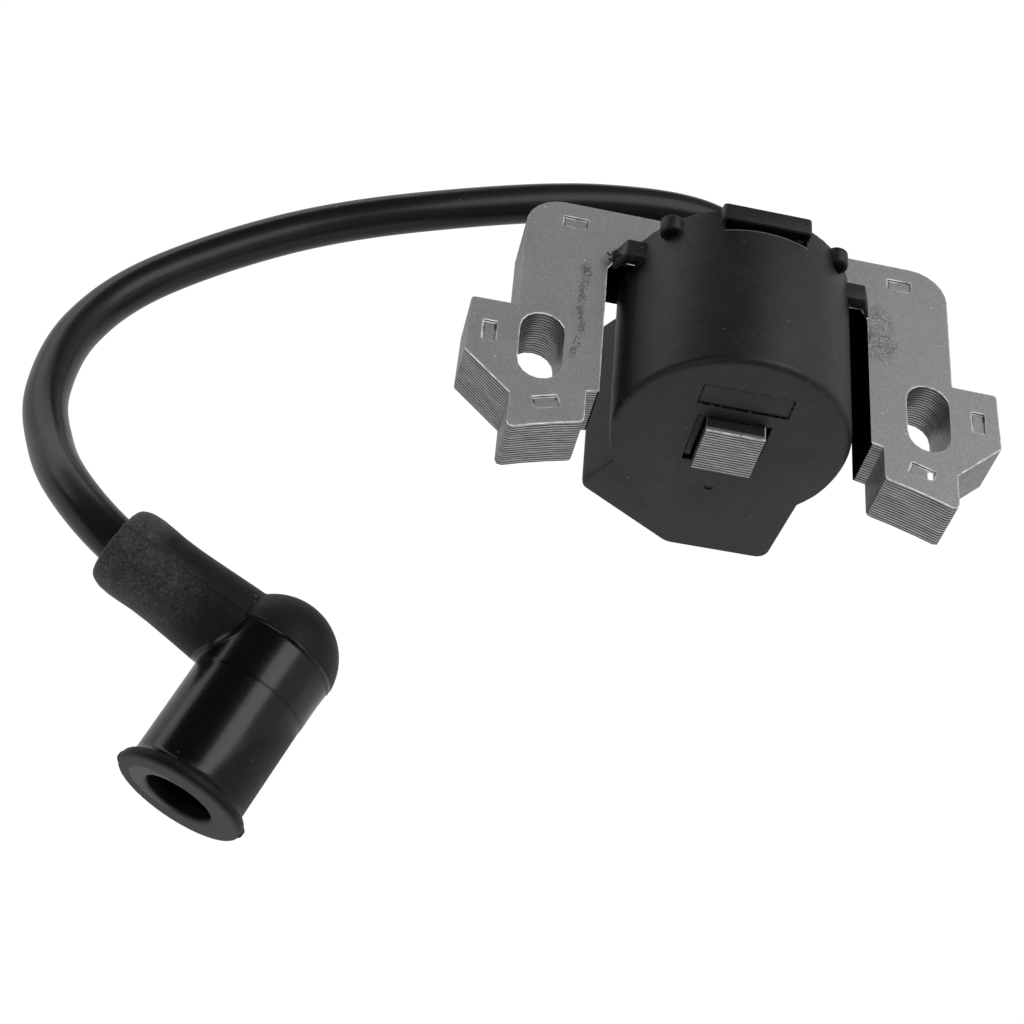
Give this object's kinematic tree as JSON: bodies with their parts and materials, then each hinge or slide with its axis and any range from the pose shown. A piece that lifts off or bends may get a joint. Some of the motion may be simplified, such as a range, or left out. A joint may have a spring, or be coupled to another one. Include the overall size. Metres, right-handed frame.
{
  "type": "ignition coil",
  "caption": "Magneto ignition coil: laminated E core with slotted ears, potted round housing with a module chamber, and a high-tension lead ending in a right-angle rubber plug boot.",
  "frame": {"origin": "middle of the centre pole's face, on the middle lamination, half way up the stack", "axes": "+X along the yoke towards the right leg, +Y from the flywheel towards the yoke, +Z square to the laminations, away from the module chamber"},
  "size_m": [0.1567, 0.1482, 0.0487],
  "materials": {
    "lamination_steel": "bare rolled electrical steel, stamped, fine grain",
    "housing_plastic": "black moulded nylon, satin matte",
    "potting_resin": "black cast epoxy, smooth",
    "bobbin_plastic": "natural moulded plastic",
    "enamelled_copper": "enamelled copper winding",
    "board_laminate": "glass-fibre board laminate",
    "component_epoxy": "black moulded epoxy",
    "capacitor_film": "dipped film capacitor",
    "resistor_coating": "resistor lacquer",
    "tinned_brass": "tinned brass strip",
    "spring_steel": "drawn spring wire",
    "lead_rubber": "black lead insulation, glossy",
    "boot_rubber": "black moulded rubber, satin",
    "copper_strand": "stranded copper"
  },
  "bodies": {
    "coil": {"lamination_01": "lamination_steel", "lamination_02": "lamination_steel", "lamination_03": "lamination_steel", "lamination_04": "lamination_steel", "lamination_05": "lamination_steel", "lamination_06": "lamination_steel", "lamination_07": "lamination_steel", "lamination_08": "lamination_steel", "lamination_09": "lamination_steel", "lamination_10": "lamination_steel", "lamination_11": "lamination_steel", "lamination_12": "lamination_steel", "lamination_13": "lamination_steel", "lamination_14": "lamination_steel", "lamination_15": "lamination_steel", "lamination_16": "lamination_steel", "lamination_17": "lamination_steel", "coil_housing": "housing_plastic", "core_wedge": "housing_plastic", "potting_compound": "potting_resin", "primary_bobbin": "bobbin_plastic", "secondary_bobbin": "bobbin_plastic", "primary_winding": "enamelled_copper", "secondary_winding": "enamelled_copper", "primary_wire_start": "enamelled_copper", "primary_wire_end": "enamelled_copper", "secondary_wire": "enamelled_copper", "circuit_board": "board_laminate", "power_transistor": "component_epoxy", "trigger_chip": "component_epoxy", "clamp_diode": "component_epoxy", "film_capacitor": "capacitor_film", "base_resistor": "resistor_coating", "ground_strap": "tinned_brass", "kill_terminal": "tinned_brass", "high_tension_terminal": "tinned_brass", "lead_insulation_root": "lead_rubber", "lead_conductor_root": "copper_strand"},
    "lead_middle": {"lead_insulation_flex_a": "lead_rubber", "lead_conductor_flex_a": "copper_strand", "lead_insulation_middle": "lead_rubber", "lead_conductor_middle": "copper_strand"},
    "lead_end": {"lead_insulation_flex_b": "lead_rubber", "lead_conductor_flex_b": "copper_strand", "lead_insulation_end": "lead_rubber", "lead_conductor_end": "copper_strand"},
    "boot": {"plug_boot": "boot_rubber", "plug_terminal": "tinned_brass", "clip_ring": "spring_steel"}
  },
  "joints": [
    {"name": "lead_swing", "type": "hinge", "parent": "coil", "child": "lead_middle", "pos_m": [-0.0513, 0.0515, -0.0087], "axis": [0, 0, 1], "range_deg": [-20, 20], "stiffness_Nm_per_rad": 0.15, "deforming": ["lead_insulation_flex_a", "lead_conductor_flex_a"]},
    {"name": "lead_lift", "type": "hinge", "parent": "lead_middle", "child": "lead_end", "pos_m": [-0.1083, -0.0063, -0.0075], "axis": [-1, 0, 0], "range_deg": [-20, 30], "stiffness_Nm_per_rad": 0.15, "deforming": ["lead_insulation_flex_b", "lead_conductor_flex_b"]},
    {"name": "boot_swivel", "type": "hinge", "parent": "lead_end", "child": "boot", "pos_m": [-0.0665, -0.0544, 0], "axis": [-0.8843, 0.4315, 0.1783], "range_deg": [-180, 180]}
  ]
}
